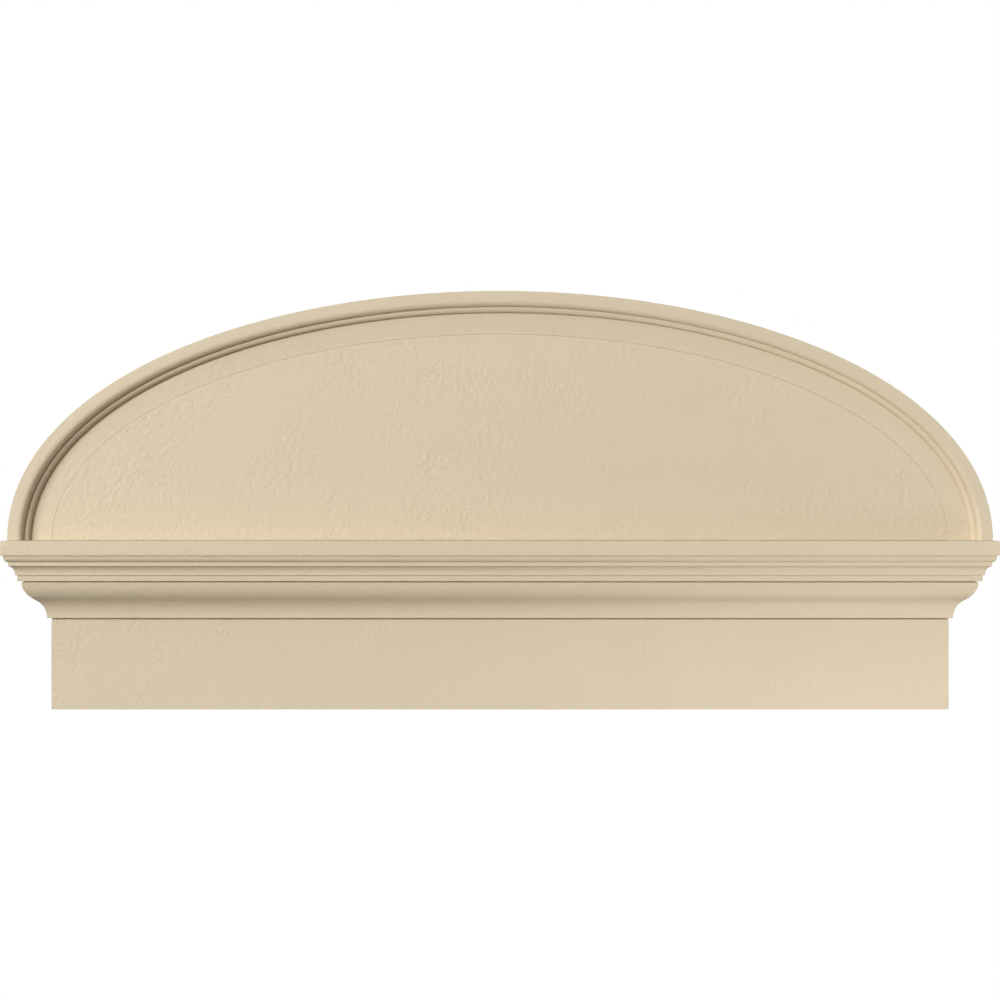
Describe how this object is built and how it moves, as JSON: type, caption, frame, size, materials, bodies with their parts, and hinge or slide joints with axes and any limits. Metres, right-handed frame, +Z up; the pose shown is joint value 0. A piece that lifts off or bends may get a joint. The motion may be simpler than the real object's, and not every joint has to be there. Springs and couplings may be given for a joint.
{
  "type": "segmental pediment",
  "caption": "Segmental pediment: an elliptical arch moulding round a recessed tympanum, on a returned cornice with an ogee bed moulding and a flat breastboard.",
  "frame": {"origin": "centre of the breastboard's back face, on the wall plane and on the pediment's centreline", "axes": "+X to the right seen from the front, +Y into the wall, +Z up"},
  "size_m": [1.524, 0.0893, 0.6492],
  "materials": {
    "tan_primer": "matte tan primer on moulded high-density urethane"
  },
  "bodies": {
    "root": {"tympanum_panel": "tan_primer", "arch_moulding": "tan_primer", "crown_moulding": "tan_primer", "bed_moulding": "tan_primer", "breastboard": "tan_primer"}
  },
  "joints": []
}
